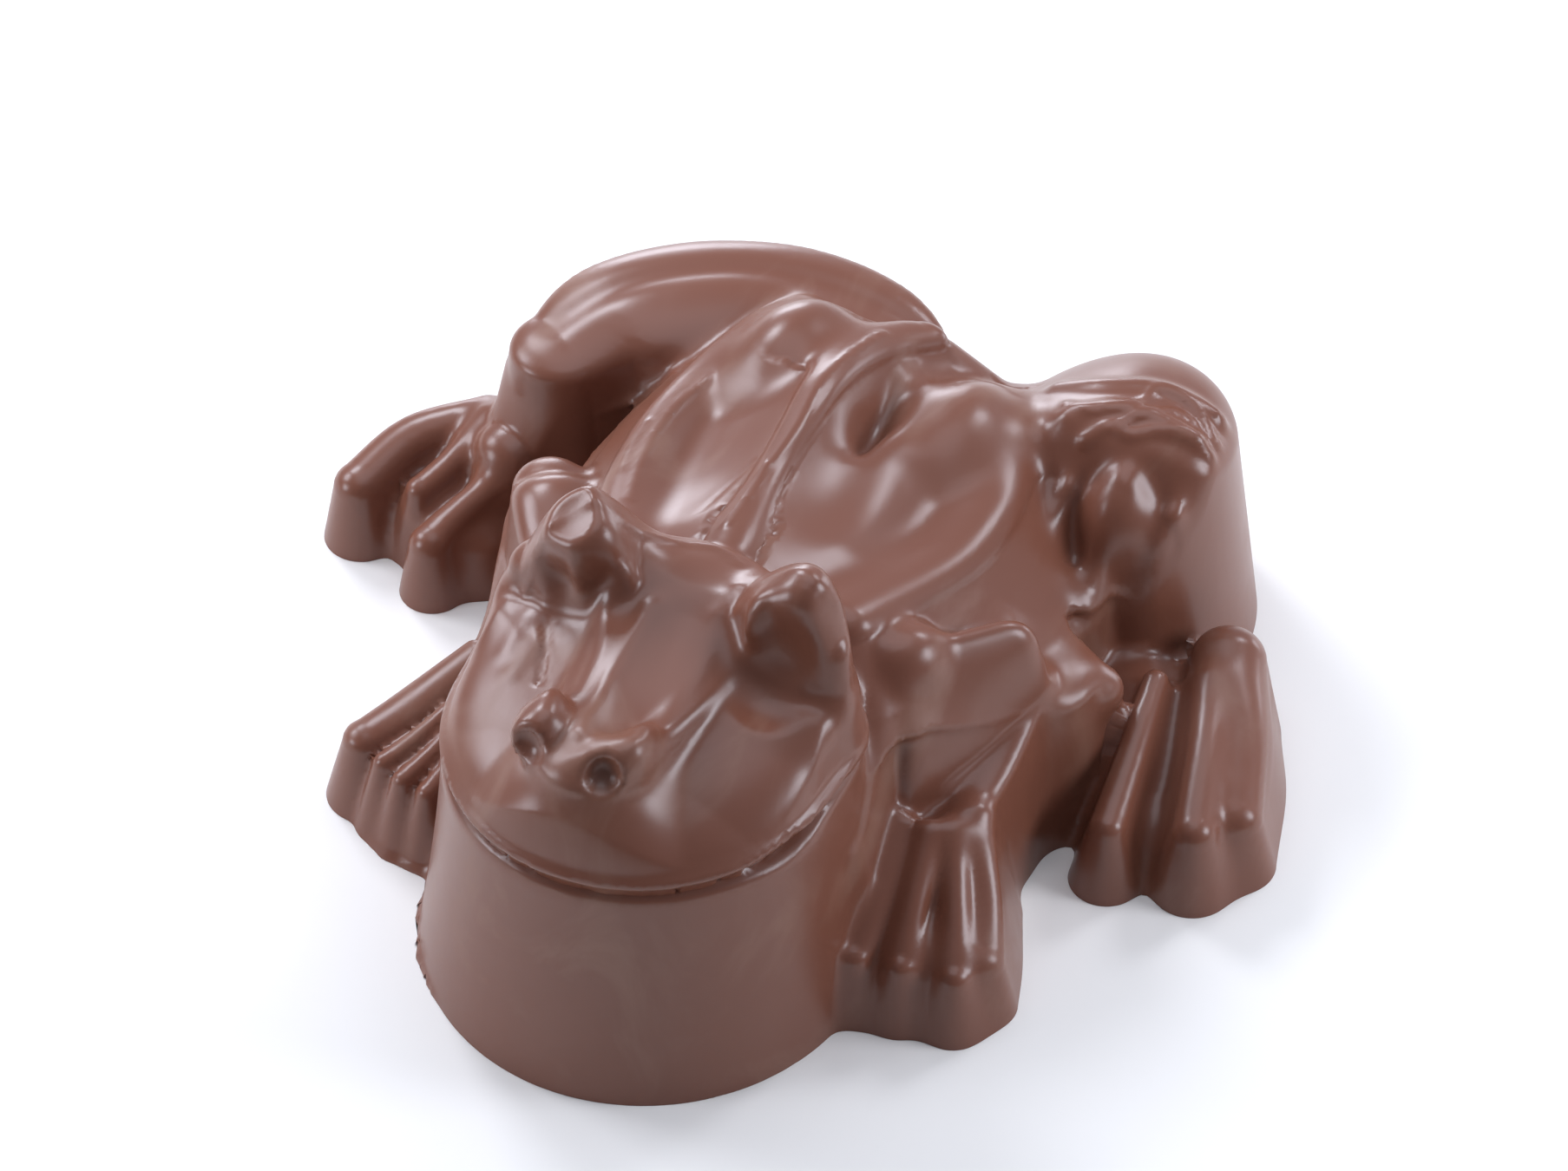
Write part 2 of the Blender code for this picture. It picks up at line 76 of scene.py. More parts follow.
# Takes a hollow out of a form and rounds its rim
def smoothCut(form, hollow, fillet):
    return -smoothMin(-form, hollow, fillet)


# A soft step from 0 to 1
def smoothStep(value):
    value = np.clip(value, 0.0, 1.0)
    return value * value * (3.0 - 2.0 * value)


# An upper half ellipsoid on a skirt that widens downwards
def dome(p, centre, radii, turn=0.0, draft=mouldDraft):
    cosine, sine = math.cos(math.radians(turn)), math.sin(math.radians(turn))
    dx, dy, dz = p[:, 0] - centre[0], p[:, 1] - centre[1], p[:, 2] - centre[2]
    along, across = dx * cosine + dy * sine, dy * cosine - dx * sine
    skirt = np.maximum(-dz, 0.0) * math.tan(math.radians(draft))
    wide, deep = radii[0] + skirt, radii[1] + skirt
    rise = np.maximum(dz, 0.0) / radii[2]
    reach = np.sqrt((along / wide) ** 2 + (across / deep) ** 2 + rise**2) + 1e-9
    slope = np.sqrt((along / wide**2) ** 2 + (across / deep**2) ** 2 + (rise / radii[2]) ** 2) + 1e-9
    return np.maximum(reach * (reach - 1.0) / slope, (reach - 1.0) * min(radii))


# A whole ellipsoid: turned about the vertical, then leaning up along its own length
def ball(p, centre, radii, turn=0.0, lean=0.0):
    a, b = math.radians(turn), math.radians(lean)
    length = np.array([math.cos(a) * math.cos(b), math.sin(a) * math.cos(b), math.sin(b)])
    width = np.array([-math.sin(a), math.cos(a), 0.0])
    up = np.cross(length, width)
    q = p - np.array(centre)
    parts = [q @ length / radii[0], q @ width / radii[1], q @ up / radii[2]]
    reach = np.sqrt(sum(part**2 for part in parts)) + 1e-9
    slope = np.sqrt(sum((part / radius) ** 2 for part, radius in zip(parts, radii))) + 1e-9
    return reach * (reach - 1.0) / slope


# More points on a smooth curve through the given ones
def smoothLine(points, steps=10):
    knots = np.array(points, float)
    ends = np.vstack([2 * knots[0] - knots[1], knots, 2 * knots[-1] - knots[-2]])
    line = []
    for i in range(1, len(ends) - 2):
        before, start, end, after = ends[i - 1 : i + 3]
        for t in np.arange(steps) / steps:
            bend = 2 * before - 5 * start + 4 * end - after
            twist = 3 * start - before - 3 * end + after
            line.append(start + 0.5 * t * (end - before + t * (bend + t * twist)))
    return np.array(line + [knots[-1]])


# For each point, its plan distance from a line and the line's other values there
def nearestOnLine(p, line):
    best = np.full(len(p), np.inf)
    values = np.zeros((len(p), line.shape[1] - 2))
    for start, end in zip(line[:-1], line[1:]):
        run = end[:2] - start[:2]
        t = ((p[:, 0] - start[0]) * run[0] + (p[:, 1] - start[1]) * run[1]) / (run @ run + 1e-12)
        t = np.clip(t, 0.0, 1.0)
        away = np.hypot(p[:, 0] - start[0] - t * run[0], p[:, 1] - start[1] - t * run[1])
        closer = away < best
        best[closer] = away[closer]
        values[closer] = start[2:] + t[closer, None] * (end[2:] - start[2:])
    return best, values


# Which points lie within reach of the plan box round a line
def closeTo(p, line, reach):
    low, high = line[:, :2].min(axis=0) - reach, line[:, :2].max(axis=0) + reach
    return ((p[:, :2] > low) & (p[:, :2] < high)).all(axis=1)


# A crest along a curve through (x, y, top, half width): round on top, sloping at the sides.
# With a drop it ends that far below its middle, and without one it runs down through the base.
def ridge(p, points, rounding=1.0, slope=mouldDraft, drop=None):
    line = smoothLine(points)
    lean = math.tan(math.radians(slope))
    spread = line[:, 3].max() + lean * (line[:, 2].max() if drop is None else drop)
    form = np.full(len(p), farAway)
    near = closeTo(p, line, farAway + spread)
    q = p[near]
    away, values = nearestOnLine(q, line)
    top, width = values[:, 0], values[:, 1]
    centre = top - width * rounding
    rise = np.maximum(q[:, 2] - centre, 0.0) / rounding
    skirt = np.maximum(centre - q[:, 2], 0.0) * lean
    side = np.where(q[:, 2] > centre, 1.0, math.cos(math.radians(slope)))
    crest = (np.hypot(away, rise) - width - skirt) * side
    if drop is not None:
        crest = np.maximum(crest, centre - drop - q[:, 2])
    form[near] = np.minimum(crest, farAway)
    return form


# How near each point is to a line on the surface: 1 on it, 0 away from it
def lineMark(p, points, width):
    line = smoothLine(points)
    mark = np.zeros(len(p))
    near = closeTo(p, line, 4 * width)
    away, values = nearestOnLine(p[near], line)
    off = np.hypot(away, 0.5 * (p[near, 2] - values[:, 0]))
    mark[near] = np.exp(-((off / width) ** 2))
    return mark


def union(parts, fillet):
    form = parts[0]
    for part in parts[1:]:
        form = smoothMin(form, part, fillet)
    return form


# What lies inside every one of the forms, with their shared edges rounded
def within(forms, fillet):
    form = forms[0]
    for other in forms[1:]:
        form = -smoothMin(-form, -other, fillet)
    return form


def torso(p):
    body = dome(p, (0.2, 7.6, 7.0), (11.4, 13.2, 8.6))
    neck = dome(p, (0.2, -2.0, 9.5), (9.3, 7.0, 8.6))
    form = smoothMin(body, neck, 5.0)
    spine = ridge(p, [(0.2, -2.5, 19.0, 0.7), (-0.5, 3.0, 18.5, 0.8), (-0.9, 8.5, 18.3, 1.0),
                      (-1.0, 12.5, 17.9, 1.2), (-0.4, 17.5, 16.2, 1.3), (0.8, 20.2, 15.0, 1.3)],
                  0.7, 55.0, 3.5)
    nearEdge = ridge(p, [(6.9, -2.0, 17.3, 1.3), (8.2, 2.8, 15.8, 1.4), (9.0, 7.0, 14.8, 1.5),
                         (8.9, 11.5, 14.4, 1.5), (7.8, 15.0, 14.2, 1.6), (6.4, 18.0, 13.4, 1.4)],
                     0.8, 42.0, 4.0)
    farEdge = ridge(p, [(-6.4, -2.0, 17.6, 1.3), (-7.8, 3.0, 16.4, 1.4), (-8.4, 8.0, 15.6, 1.4),
                        (-7.9, 13.0, 15.0, 1.5), (-6.6, 17.3, 14.8, 1.6), (-6.0, 19.8, 14.2, 1.4)],
                    0.8, 38.0, 4.0)
    nearHump = ball(p, (5.4, 14.4, 12.4), (3.0, 4.4, 3.6))
    farHump = ball(p, (-4.4, 15.0, 13.0), (3.4, 4.8, 4.6), -10.0)
    form = union([form, spine, nearEdge, farEdge, nearHump, farHump], 2.2)
    nearDish = ball(p, (3.8, 7.2, 20.8), (3.2, 7.2, 4.2), 4.0)
    nearPit = ball(p, (1.7, 12.4, 17.4), (1.1, 3.8, 3.2), 6.0)
    farDish = ball(p, (-4.6, 5.0, 20.1), (2.8, 6.4, 3.0), -4.0)
    for hollow in (nearDish, nearPit, farDish):
        form = smoothCut(form, hollow, 1.4)
    rump = 0.985 * (p[:, 1] - 21.6) + 0.17 * (p[:, 2] - 12.5)
    return within([form, rump], 1.6)


# The upright outline of the head: a wide oval muzzle and a squarer back
def headSides(p):
    muzzle = dome(p, (0.3, -12.2, 26.0), (7.5, 7.5, 2.0), draft=11.6)
    nape = dome(p, (0.2, -8.4, 26.0), (9.0, 3.9, 2.0), draft=5.0)
    return smoothMin(muzzle, nape, 2.0)


# The two flat cheeks, which fall away from the snout and towards the lip
def cheekPlane(p):
    outwards = 0.13 * np.abs(p[:, 0] - 0.3)
    forwards = 0.10 * np.maximum(-10.5 - p[:, 1], 0.0)
    return 0.98 * (p[:, 2] - 19.5 + outwards + forwards)


# How far the skin sinks at the mouth: a fine groove, widest at the near corner, under a raised lip
def mouthLine(p, sides):
    atCorner = np.exp(-(((p[:, 0] - 9.2) ** 2 + (p[:, 1] + 15.2) ** 2) / 5.0))
    width = 0.30 + 0.22 * atCorner
    groove = (0.35 + 0.45 * atCorner) * np.exp(-(((p[:, 2] - lipHeight + 0.25) / width) ** 2))
    lip = 0.14 * np.exp(-(((p[:, 2] - lipHeight - 0.40) / 0.35) ** 2))
    return (groove - lip) * np.exp(-((sides / 1.5) ** 2))


def head(p):
    jaw = dome(p, (0.3, -11.8, 14.4), (9.5, 9.8, 1.5))
    snout = ridge(p, [(0.4, -18.4, 20.2, 2.8), (0.4, -14.5, 19.9, 3.1), (0.4, -10.5, 20.3, 4.0),
                      (0.4, -7.0, 20.9, 5.4)], 0.4, 35.0, 6.0)
    nearEye = ridge(p, [(3.4, -6.6, 21.2, 1.3), (5.0, -7.0, 23.5, 1.5), (6.6, -7.2, 24.8, 1.7),
                         (8.0, -7.2, 24.5, 1.6), (9.2, -7.4, 21.8, 1.5)], 0.9, 8.0, 8.0)
    farEye = ridge(p, [(-2.6, -6.4, 21.2, 1.3), (-3.8, -6.9, 23.4, 1.6), (-5.3, -7.2, 24.8, 1.8),
                        (-6.8, -7.2, 23.6, 1.7), (-8.4, -7.4, 20.4, 1.5)], 0.9, 8.0, 8.0)
    sides = headSides(p)
    rounding = np.interp(p[:, 1], [-17.0, -12.0, -6.0], [2.8, 1.8, 0.8])
    cheeks = -smoothMin(-cheekPlane(p), -sides, rounding)
    nearBrow = ball(p, (6.6, -6.0, 19.4), (3.2, 2.8, 3.2))
    farBrow = ball(p, (-5.3, -6.0, 19.4), (2.8, 2.8, 3.2))
    top = union([snout, nearEye, farEye, nearBrow, farBrow], 2.0)
    for x in nostrils:
        top = smoothMin(top, ball(p, (x, -18.3, 19.7), (1.4, 2.2, 1.4)), 0.8)
    top = -smoothMin(-top, -sides, 0.9)
    top = smoothMin(top, cheeks, 0.7)
    nearSocket = ball(p, (6.9, -11.3, 21.4), (3.1, 2.5, 3.3), 8.0)
    farSocket = ball(p, (-5.6, -11.0, 21.8), (2.3, 2.2, 3.1), -8.0)
    for hollow in (nearSocket, farSocket):
        top = smoothCut(top, hollow, 0.4)
    upper = -smoothMin(-top, p[:, 2] - lipHeight + 0.2, 0.6)
    throat = within([sides + 0.1 + 0.10 * (lipHeight - p[:, 2]), p[:, 2] - lipHeight - 0.5], 0.5)
    form = smoothMin(upper, smoothMin(jaw, throat, 1.5), 0.25)
    for x in nostrils:
        form = smoothCut(form, ball(p, (x, -19.9, 20.1), (1.0, 1.0, 1.0)), 0.3)
    return form + mouthLine(p, sides)


# The flat side of everything behind a plane that passes through a point and faces a direction
def plane(p, through, facing):
    normal = np.array(facing) / np.linalg.norm(facing)
    return (p - np.array(through)) @ normal


def nearArm(p):
    front = plane(p, (12.7, -3.5, 10.0), (0.754, -0.471, 0.453))
    inner = plane(p, (10.4, -4.2, 11.5), (-0.5, -0.85, 0.17))
    top = plane(p, (10.1, -1.6, 16.3), (0.12, 0.03, 1.0))
    rear = plane(p, (15.0, 3.6, 13.5), (0.5, 0.86, 0.12))
    behind = plane(p, (12.0, 2.1, 15.0), (-0.77, 0.64, 0.12))
    wall = plane(p, (11.9, -5.3, 9.5), (0.913, -0.406, 0.10))
    block = within([within([front, inner, rear, behind], 1.2), top], 2.6)
    block = within([block, wall], 0.8)
    below = ridge(p, [(10.6, -3.4, 8.8, 1.5), (12.0, -2.4, 8.8, 1.5), (13.3, 1.8, 9.4, 1.5)], 0.6, 5.0)
    throat = ridge(p, [(8.0, -1.5, 15.6, 1.6), (9.0, -5.5, 13.4, 1.4), (9.8, -9.5, 9.8, 1.2)], 0.8, 12.0)
    fore = ridge(p, [(14.5, 3.8, 10.6, 1.0), (14.6, -0.6, 8.7, 1.0), (14.3, -4.8, 8.0, 1.1)], 0.8, 6.0)
    palm = ridge(p, [(12.9, -4.6, 7.4, 2.2), (14.6, -8.6, 4.8, 3.0)], 0.6, 9.0)
    toes = [ridge(p, [(11.8, -6.2, 8.2, 0.6), (12.0, -9.0, 6.5, 0.7), (12.0, -12.1, 4.4, 0.8)], 1.0, 15.0),
            ridge(p, [(13.3, -6.2, 8.3, 0.6), (13.8, -9.2, 6.3, 0.7), (14.3, -11.7, 4.4, 0.8)], 1.0, 15.0),
            ridge(p, [(14.4, -5.6, 8.1, 0.6), (15.8, -8.4, 6.1, 0.7), (17.0, -11.1, 4.3, 0.9)], 1.0, 15.0),
            ridge(p, [(15.0, -4.2, 8.2, 0.8), (16.7, -6.8, 5.9, 0.9), (17.8, -9.3, 4.3, 1.1)], 1.0, 13.0)]
    arm = union([below, throat, fore, palm] + toes, 1.1)
    return smoothMin(arm, block, 0.4)


def farArm(p):
    block = ridge(p, [(-9.8, -1.6, 15.2, 2.0), (-11.4, 1.0, 15.6, 2.2), (-12.4, 2.6, 14.4, 2.0)], 0.7, 6.0)
    fore = ridge(p, [(-12.4, 2.2, 11.5, 2.0), (-12.0, -3.0, 8.4, 1.8), (-12.6, -7.0, 5.4, 1.8),
                     (-13.4, -9.0, 3.6, 2.0)], 0.7, 8.0)
    toes = [ridge(p, [(-13.0, -5.0, 8.2, 1.0), (-15.3, -7.9, 6.2, 1.3), (-17.0, -9.9, 5.0, 1.2)], 0.8, 14.0),
            ridge(p, [(-12.2, -7.2, 7.8, 0.5), (-13.9, -9.7, 6.1, 0.5), (-15.2, -11.2, 5.0, 0.6)], 1.0, 15.0),
            ridge(p, [(-11.7, -8.0, 7.3, 0.5), (-12.9, -10.3, 5.8, 0.5), (-13.8, -11.8, 4.9, 0.6)], 1.0, 15.0),
            ridge(p, [(-11.0, -8.8, 6.8, 0.5), (-12.3, -12.0, 4.8, 0.6)], 1.0, 15.0)]
    return smoothMin(union([block, fore], 1.2), union(toes, 0.4), 0.7)


def nearLeg(p):
    column = dome(p, (11.9, 18.6, 26.0), (5.1, 5.8, 2.0), draft=7.0)
    browSlope = plane(p, (15.0, 16.6, 16.2), (0.0, -0.78, 0.62))
    front = plane(p, (15.0, 11.0, 8.0), (0.0, -0.99, 0.12))
    crown = 0.30 * (p[:, 1] - 16.4) + 0.05 * (p[:, 0] - 14.0) ** 2
    top = 0.95 * (p[:, 2] - 16.6 + crown)
    thigh = within([within([column, front, browSlope], 2.4), top], 1.6)
    web = dome(p, (14.6, 5.6, 8.4), (2.6, 2.8, 1.2))
    groin = ridge(p, [(10.6, 3.0, 12.8, 2.0), (10.9, 6.0, 12.0, 1.8), (12.2, 8.6, 9.6, 2.0),
                      (13.0, 10.6, 8.6, 1.8)], 0.7, 9.0)
    knob = ball(p, (16.9, 7.0, 7.2), (1.2, 1.2, 1.2))
    foot = ridge(p, [(17.6, 11.0, 5.0, 2.4), (19.6, 7.2, 4.4, 2.8), (21.4, 4.9, 3.2, 2.4)], 0.7, 9.0)
    outerFoot = ridge(p, [(21.4, 13.4, 7.0, 2.0), (22.8, 9.4, 5.7, 2.3), (23.8, 6.2, 4.6, 2.0)], 0.9, 10.0)
    toes = [ridge(p, [(18.8, 9.8, 6.6, 0.7), (19.4, 6.0, 6.0, 0.8), (20.0, 1.2, 4.8, 1.0)], 1.0, 14.0),
            ridge(p, [(21.4, 11.0, 6.6, 0.8), (22.8, 7.2, 6.2, 1.0), (24.2, 2.6, 5.2, 1.2)], 1.0, 14.0),
            ridge(p, [(21.4, 13.0, 6.4, 1.0), (23.8, 9.8, 5.9, 1.1), (25.6, 5.0, 4.7, 1.3)], 1.0, 14.0)]
    return union([thigh, web, groin, knob, foot, outerFoot] + toes, 1.2)


def farLeg(p):
    thigh = ridge(p, [(-17.2, 13.2, 12.8, 2.7), (-15.3, 16.4, 13.8, 3.8), (-11.6, 19.2, 14.0, 4.4),
                      (-7.7, 21.6, 13.7, 3.6), (-3.2, 22.0, 13.2, 3.0), (0.0, 20.6, 12.2, 2.6)], 0.4, 7.0)
    shin = ridge(p, [(-18.0, 11.6, 11.2, 1.8), (-18.6, 9.8, 8.2, 1.8)], 0.8, 8.0)
    foot = ridge(p, [(-19.8, 11.6, 5.2, 2.6), (-21.6, 9.6, 4.4, 3.0), (-19.0, 7.4, 4.4, 2.2)], 0.7, 10.0)
    toes = [ridge(p, [(-21.2, 12.2, 7.0, 1.2), (-24.4, 9.8, 6.2, 1.3), (-26.0, 6.5, 5.0, 1.4)], 0.9, 10.0),
            ridge(p, [(-20.6, 11.2, 7.4, 0.8), (-21.4, 8.8, 6.4, 0.8), (-22.6, 7.0, 5.2, 0.8)], 1.0, 12.0),
            ridge(p, [(-18.2, 8.8, 7.0, 0.8), (-20.0, 5.8, 5.4, 0.9), (-20.7, 4.5, 4.6, 1.2)], 1.0, 10.0)]
    return union([thigh, shin, foot] + toes, 1.0)


# Low folds and furrows of the form, each a line on the skin: points in mm, half width, rise or fall
lowFolds = {
    "inner fold of the near snout": ([(2.4, -8.4, 21.8), (3.1, -11.0, 20.9), (2.9, -13.5, 20.2),
                                      (2.4, -16.5, 20.0)], 0.6, 0.40),
    "edge of the near snout": ([(4.9, -8.6, 22.4), (4.5, -10.4, 21.3), (4.1, -12.4, 20.4),
                                (3.4, -15.4, 19.7), (2.8, -18.0, 19.8)], 0.7, 0.65),
    "broad fold of the snout": ([(-2.4, -8.8, 21.4), (-1.4, -12.5, 20.5), (-0.6, -16.0, 20.2),
                                 (0.2, -19.4, 20.2)], 0.8, 0.45),
    "edge of the far snout": ([(-4.6, -9.6, 21.6), (-3.8, -12.4, 20.5), (-2.8, -15.4, 20.0),
                               (-2.0, -18.0, 20.0)], 0.6, 0.50),
    "furrow of the snout": ([(0.8, -9.0, 21.0), (1.2, -13.0, 20.2), (1.6, -17.0, 20.2)], 0.9, -0.40),
    "inner furrow of the near thigh": ([(12.9, 14.4, 13.4), (12.8, 12.2, 10.6), (12.8, 11.0, 7.8)],
                                       0.8, -0.30),
    "middle fold of the near thigh": ([(14.5, 14.6, 13.6), (14.4, 12.4, 11.0), (14.4, 11.0, 8.6)], 1.1, 0.65),
    "outer fold of the near thigh": ([(17.3, 14.6, 13.6), (17.2, 12.6, 11.2)], 0.9, 0.40),
    "inner fold of the near thigh": ([(11.7, 14.0, 13.0), (11.6, 12.0, 10.4), (11.6, 11.0, 8.4)], 0.7, 0.40),
    "outer furrow of the near thigh": ([(16.1, 14.8, 14.0), (16.0, 12.6, 11.2), (15.9, 11.2, 8.8)],
                                       0.8, -0.45),
    "front fold over the near thigh": ([(10.4, 16.9, 14.9), (12.4, 18.0, 15.6), (14.4, 18.2, 15.9),
                                        (17.2, 18.3, 15.8)], 0.6, 0.40),
    "rear fold over the near thigh": ([(8.6, 19.8, 13.6), (11.0, 20.0, 15.0), (14.0, 21.0, 15.3),
                                       (17.2, 21.0, 15.0)], 0.6, 0.40),
    "groove round the far thigh": ([(-17.8, 13.9, 14.0), (-16.0, 16.5, 14.3), (-14.0, 18.6, 14.3),
                                    (-10.5, 20.9, 14.2), (-7.0, 22.0, 14.0), (-3.6, 22.3, 13.4),
                                    (0.5, 22.0, 12.4)], 0.8, -0.70),
}


# Height of a set of marks at each point
def reliefHeight(p, marks):
    height = np.zeros(len(p))
    for points, width, rise in marks.values():
        height += rise * lineMark(p, points, width)
    return height


def frog(p):
    form = union([torso(p), nearArm(p), farArm(p), nearLeg(p), farLeg(p)], 1.2)
    return smoothMin(form, head(p), 0.8) - reliefHeight(p, lowFolds)


# What a user would change on the frog's surface
frogLook = {
    "skinStep": 0.256,  # fineness of the mesh, mm
    "skirt": 2.0,  # how far the walls run on below the table before they are cut, mm
    "pressRounds": 4,
    "sharpEdge": 60.0,  # degrees past which an edge stays crisp
}


def readPlaces(mesh):
    places = np.empty(len(mesh.vertices) * 3, np.float64)
    mesh.vertices.foreach_get("co", places)
    return places.reshape(-1, 3)


def writePlaces(mesh, places):
    mesh.vertices.foreach_set("co", places.ravel())
    mesh.update()


# Fine marks that the mould leaves, each a line on the skin: points in mm, half width, rise or fall
fineMarks = {
    "seam down the back": ([(-0.6, -0.8, 18.9), (-0.6, 2.0, 18.6), (-0.8, 3.9, 18.5),
                            (-0.6, 6.0, 18.4), (-0.6, 7.9, 18.3), (-1.0, 10.2, 18.2),
                            (-1.0, 12.4, 17.9), (-0.8, 14.1, 17.5), (-0.4, 17.5, 16.2)], 0.24, 0.20),
    "far seam": ([(-6.6, 0.2, 16.9), (-7.2, 2.1, 16.6), (-7.8, 4.5, 16.2), (-8.1, 6.6, 15.8),
                  (-8.1, 8.8, 15.5), (-7.6, 11.3, 15.4)], 0.22, 0.14),
    "lip behind the far eye": ([(-7.6, -9.2, 18.9), (-7.0, -8.8, 22.1), (-6.3, -8.4, 23.8),
                                (-5.6, -7.8, 24.6), (-4.9, -7.2, 24.7), (-4.1, -6.8, 23.8)], 0.26, 0.10),
    "lip behind the forehead": ([(-3.6, -6.6, 23.2), (-2.9, -5.7, 21.7), (-1.9, -4.8, 20.8),
                                 (-0.6, -4.2, 20.5), (0.6, -3.9, 20.5), (1.8, -4.5, 20.6)], 0.24, 0.20),
    "lip behind the near eye": ([(2.7, -6.5, 21.3), (4.4, -7.1, 22.9), (6.2, -7.2, 24.6),
                                 (7.7, -7.5, 24.6), (8.5, -7.1, 23.2)], 0.26, 0.10),
    "lower brow line": ([(11.8, 15.9, 15.0), (12.8, 16.8, 15.7), (13.9, 16.7, 15.7),
                         (15.1, 17.4, 15.8), (16.6, 17.9, 15.7), (17.9, 18.1, 14.6)], 0.28, 0.22),
    "upper brow line": ([(9.9, 17.7, 15.3), (11.5, 17.3, 16.0), (13.4, 18.5, 16.2), (13.8, 20.5, 15.6),
                         (14.9, 20.8, 15.5), (16.5, 20.2, 14.9), (17.7, 19.3, 14.4)], 0.30, 0.20),
    "middle brow line": ([(13.3, 17.0, 15.9), (14.0, 17.8, 16.3), (15.2, 19.3, 15.6),
                          (16.2, 19.4, 15.2)], 0.26, 0.16),
    "far fold of the snout": ([(-2.2, -8.2, 21.1), (-2.9, -9.6, 20.1), (-2.1, -12.2, 19.8),
                               (-1.7, -15.1, 19.6)], 0.55, 0.35),
    "middle fold of the snout": ([(-0.8, -9.0, 20.5), (-0.7, -11.5, 20.1), (-0.5, -14.5, 20.0),
                                  (-0.2, -18.0, 20.4)], 0.55, 0.40),
    "crease of the far cheek": ([(-5.9, -10.5, 18.6), (-5.1, -12.2, 18.5), (-4.5, -14.0, 18.2)], 0.20, -0.14),
    "filled hollow of the back": ([(4.6, 2.5, 16.4), (4.2, 6.5, 16.4), (3.8, 10.0, 16.2)], 2.2, 0.40),
    "far streak of the cheek": ([(-6.9, -10.3, 18.5), (-7.1, -12.6, 18.4)], 0.60, 0.07),
    "near streak of the cheek": ([(-5.8, -11.6, 18.5), (-6.2, -13.8, 18.3)], 0.60, 0.07),
    "scratch by the seam": ([(-2.6, 0.4, 17.6), (-2.3, 2.9, 17.5), (-1.8, 5.0, 17.6)], 0.16, -0.05),
    "flow line by the far seam": ([(-8.3, 2.6, 16.4), (-8.8, 4.6, 15.9), (-9.0, 6.9, 15.6)], 0.2, 0.10),
}


# Ragged flash where chocolate crept out under the mould beside the far cheek
flashLook = {
    "reach": 0.34,  # mm
    "height": 0.40,  # mm
    "from": -21.5,  # mm along the frog
    "to": -12.5,
}


# How far the flash stands out of the wall
def raggedFlash(p):
    y = p[:, 1]
    teeth = 0.55 + 0.25 * np.sin(2.3 * y + 0.6) + 0.20 * np.sin(7.1 * y) * np.sin(3.7 * y + 1.0)
    ends = smoothStep((y - flashLook["from"]) / 1.5) * smoothStep((flashLook["to"] - y) / 1.5)
    side = smoothStep((-6.0 - p[:, 0]) / 2.0)
    low = np.exp(-((np.maximum(p[:, 2], 0.0) / flashLook["height"]) ** 4))
    return flashLook["reach"] * teeth * ends * side * low


swellingBlend = 1.0  # mm, how softly the swellings run into the skin

# Small round swellings: middle and radii in mm
swellings = {
    "ball of the far eye": ((-4.9, -8.0, 22.6), (1.8, 1.5, 1.8)),
    "near elbow": ((9.7, -1.3, 14.2), (1.8, 1.8, 1.8)),
    "bulge of the near thigh": ((14.5, 14.9, 11.0), (2.2, 2.2, 3.0)),
}

# The flat that catches the light on top of the far eye: a wide ball pressed in, in mm
eyeFlat = {
    "middle": (-7.72, -11.2, 30.98),
    "radius": 8.15,
    "edge": 0.3,
}


# The whole moulding: the frog with its swellings, fine marks and flash
def moulded(p):
    form = frog(p)
    for middle, radii in swellings.values():
        form = smoothMin(form, ball(p, middle, radii), swellingBlend)
    form = smoothCut(form, ball(p, eyeFlat["middle"], [eyeFlat["radius"]] * 3), eyeFlat["edge"])
    return form - reliefHeight(p, fineMarks) - raggedFlash(p)


# Which way is out of the form at each point, and how fast the distance grows
def skinSlope(p, gap, step=0.03):
    slopes = []
    for axis in range(3):
        offset = np.zeros(3)
        offset[axis] = step
        slopes.append((moulded(p + offset) - gap) / step)
    return np.stack(slopes, axis=1)


# Moves each vertex on to the frog's skin, apart from those well under the table
def pressToSkin(mesh, rounds):
    places = readPlaces(mesh) / mm
    above = places[:, 2] > -0.6 * frogLook["skirt"]
    moved = places[above]
    for _ in range(rounds):
        gap = moulded(moved)
        slope = skinSlope(moved, gap)
        step = -gap[:, None] * slope / np.maximum((slope**2).sum(axis=1), 0.25)[:, None]
        length = np.linalg.norm(step, axis=1, keepdims=True)
        moved += step * np.minimum(1.0, 1.0 / np.maximum(length, 1e-9))
    places[above] = moved
    writePlaces(mesh, places * mm)


def selectFaces(mesh, chosen):
    for face in mesh.polygons:
        face.select = bool(chosen(face))


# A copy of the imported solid, with its underside drawn down below the table
def copyNode(node, name):
    bpy.ops.object.select_all(action="DESELECT")
    node.select_set(True)
    bpy.context.view_layer.objects.active = node
    bpy.ops.object.duplicate()
    body = bpy.context.object
    body.name = name
    body.data.name = name
    for key in list(body.keys()):
        del body[key]
    bpy.ops.object.parent_clear(type="CLEAR_KEEP_TRANSFORM")
    bpy.ops.object.mode_set(mode="EDIT")
    bpy.ops.mesh.select_all(action="SELECT")
    bpy.ops.mesh.remove_doubles(threshold=mergeGap)
    bpy.ops.mesh.select_mode(type="FACE")
    bpy.ops.mesh.select_all(action="DESELECT")
    bpy.ops.object.mode_set(mode="OBJECT")
    selectFaces(body.data, lambda face: face.normal.z < -0.99 and face.center.z < 0.02 * mm)
    bpy.ops.object.mode_set(mode="EDIT")
    bpy.ops.mesh.extrude_region_move(TRANSFORM_OT_translate={"value": (0, 0, -frogLook["skirt"] * mm)})
    bpy.ops.object.mode_set(mode="OBJECT")
    return body


